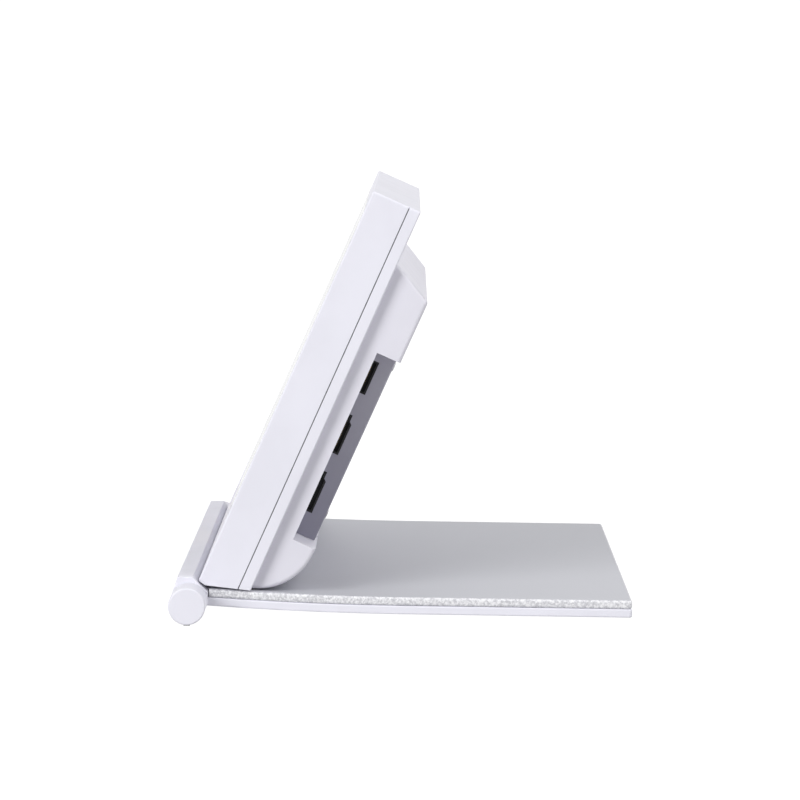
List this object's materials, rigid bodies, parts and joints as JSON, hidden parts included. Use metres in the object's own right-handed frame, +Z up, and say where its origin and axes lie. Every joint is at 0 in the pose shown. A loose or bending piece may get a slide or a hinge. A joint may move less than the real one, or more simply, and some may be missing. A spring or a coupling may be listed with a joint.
{
  "type": "video magnifier",
  "caption": "Folding desktop video magnifier: tilting screen head with rear camera over a reading plate.",
  "frame": {"origin": "on the table, under the middle of the object's box at rest", "axes": "+X to the user's right along the hinge axis, the screen faces -Y and the plate runs to +Y, +Z up"},
  "size_m": [0.396, 0.2372, 0.2196],
  "materials": {
    "white_plastic": "fine spark-eroded texture, off-white",
    "grey_plastic": "fine spark-eroded texture, dark grey",
    "black_plastic": "moulded, black",
    "diffuser_plastic": "milky diffuser",
    "satin_aluminium": "bead-blasted and anodised, bright rounded rim",
    "screen_glass": "clear cover glass over a dark display",
    "window_glass": "smoked window",
    "dark_display": "switched-off display",
    "circuit_board": "green solder mask",
    "hinge_steel": "zinc-plated steel",
    "screw_steel": "plated screws",
    "brass": "friction washers",
    "black_rubber": "soft foot rubber",
    "key_red": "satin key cap",
    "key_blue": "satin key cap",
    "key_yellow": "satin key cap",
    "key_grey": "satin key cap"
  },
  "bodies": {
    "base": {"base_plate": "white_plastic", "reading_plate": "satin_aluminium", "plate_screws": "screw_steel", "bracket_screws": "screw_steel", "front_bar": "white_plastic", "bar_foot_strip": "black_rubber", "rear_feet": "black_rubber", "bar_cap_left": "white_plastic", "bar_cap_right": "white_plastic", "hinge_bracket_left": "hinge_steel", "hinge_bracket_right": "hinge_steel"},
    "head": {"front_bezel": "white_plastic", "rear_shell": "white_plastic", "screen_glass": "screen_glass", "display_panel": "dark_display", "backlight": "diffuser_plastic", "display_frame": "hinge_steel", "main_board": "circuit_board", "key_board": "circuit_board", "camera_housing": "white_plastic", "lobe_cover": "white_plastic", "bay_cover": "grey_plastic", "cover_screws": "screw_steel", "camera_window": "window_glass", "lamp_window_left": "diffuser_plastic", "lamp_window_right": "diffuser_plastic", "lens_barrel": "black_plastic", "camera_board": "circuit_board", "camera_wedge": "black_plastic", "friction_washers": "brass", "pin_clips": "hinge_steel", "battery_pack": "black_plastic", "socket_board": "circuit_board", "hdmi_socket": "black_plastic", "usb_socket": "black_plastic", "power_socket": "black_plastic", "speaker_left": "black_plastic", "speaker_right": "black_plastic", "hinge_yoke_left": "satin_aluminium", "hinge_yoke_right": "satin_aluminium", "hinge_pin_left": "hinge_steel", "hinge_pin_right": "hinge_steel", "lamp_board_left": "circuit_board", "lamp_board_right": "circuit_board", "casing_screws": "screw_steel", "board_screws": "screw_steel"},
    "power_key_body": {"power_key": "key_red"},
    "colour_key_body": {"colour_key": "key_blue"},
    "zoom_out_key_body": {"zoom_out_key": "key_yellow"},
    "zoom_in_key_body": {"zoom_in_key": "key_yellow"},
    "freeze_key_body": {"freeze_key": "key_grey"},
    "light_key_body": {"light_key": "key_grey"}
  },
  "joints": [
    {"name": "screen_tilt", "type": "hinge", "parent": "base", "child": "head", "pos_m": [0, -0.07373, 0.04543], "axis": [-1, 0, 0], "range_deg": [0, 66]},
    {"name": "power_key_press", "type": "slide", "parent": "head", "child": "power_key_body", "axis": [0, 0.9128, -0.4083], "range_m": [0, 0.0008], "stiffness_N_per_m": 600},
    {"name": "colour_key_press", "type": "slide", "parent": "head", "child": "colour_key_body", "axis": [0, 0.9128, -0.4083], "range_m": [0, 0.0008], "stiffness_N_per_m": 600},
    {"name": "zoom_out_key_press", "type": "slide", "parent": "head", "child": "zoom_out_key_body", "axis": [0, 0.9128, -0.4083], "range_m": [0, 0.0008], "stiffness_N_per_m": 600},
    {"name": "zoom_in_key_press", "type": "slide", "parent": "head", "child": "zoom_in_key_body", "axis": [0, 0.9128, -0.4083], "range_m": [0, 0.0008], "stiffness_N_per_m": 600},
    {"name": "freeze_key_press", "type": "slide", "parent": "head", "child": "freeze_key_body", "axis": [0, 0.9128, -0.4083], "range_m": [0, 0.0008], "stiffness_N_per_m": 600},
    {"name": "light_key_press", "type": "slide", "parent": "head", "child": "light_key_body", "axis": [0, 0.9128, -0.4083], "range_m": [0, 0.0008], "stiffness_N_per_m": 600}
  ]
}
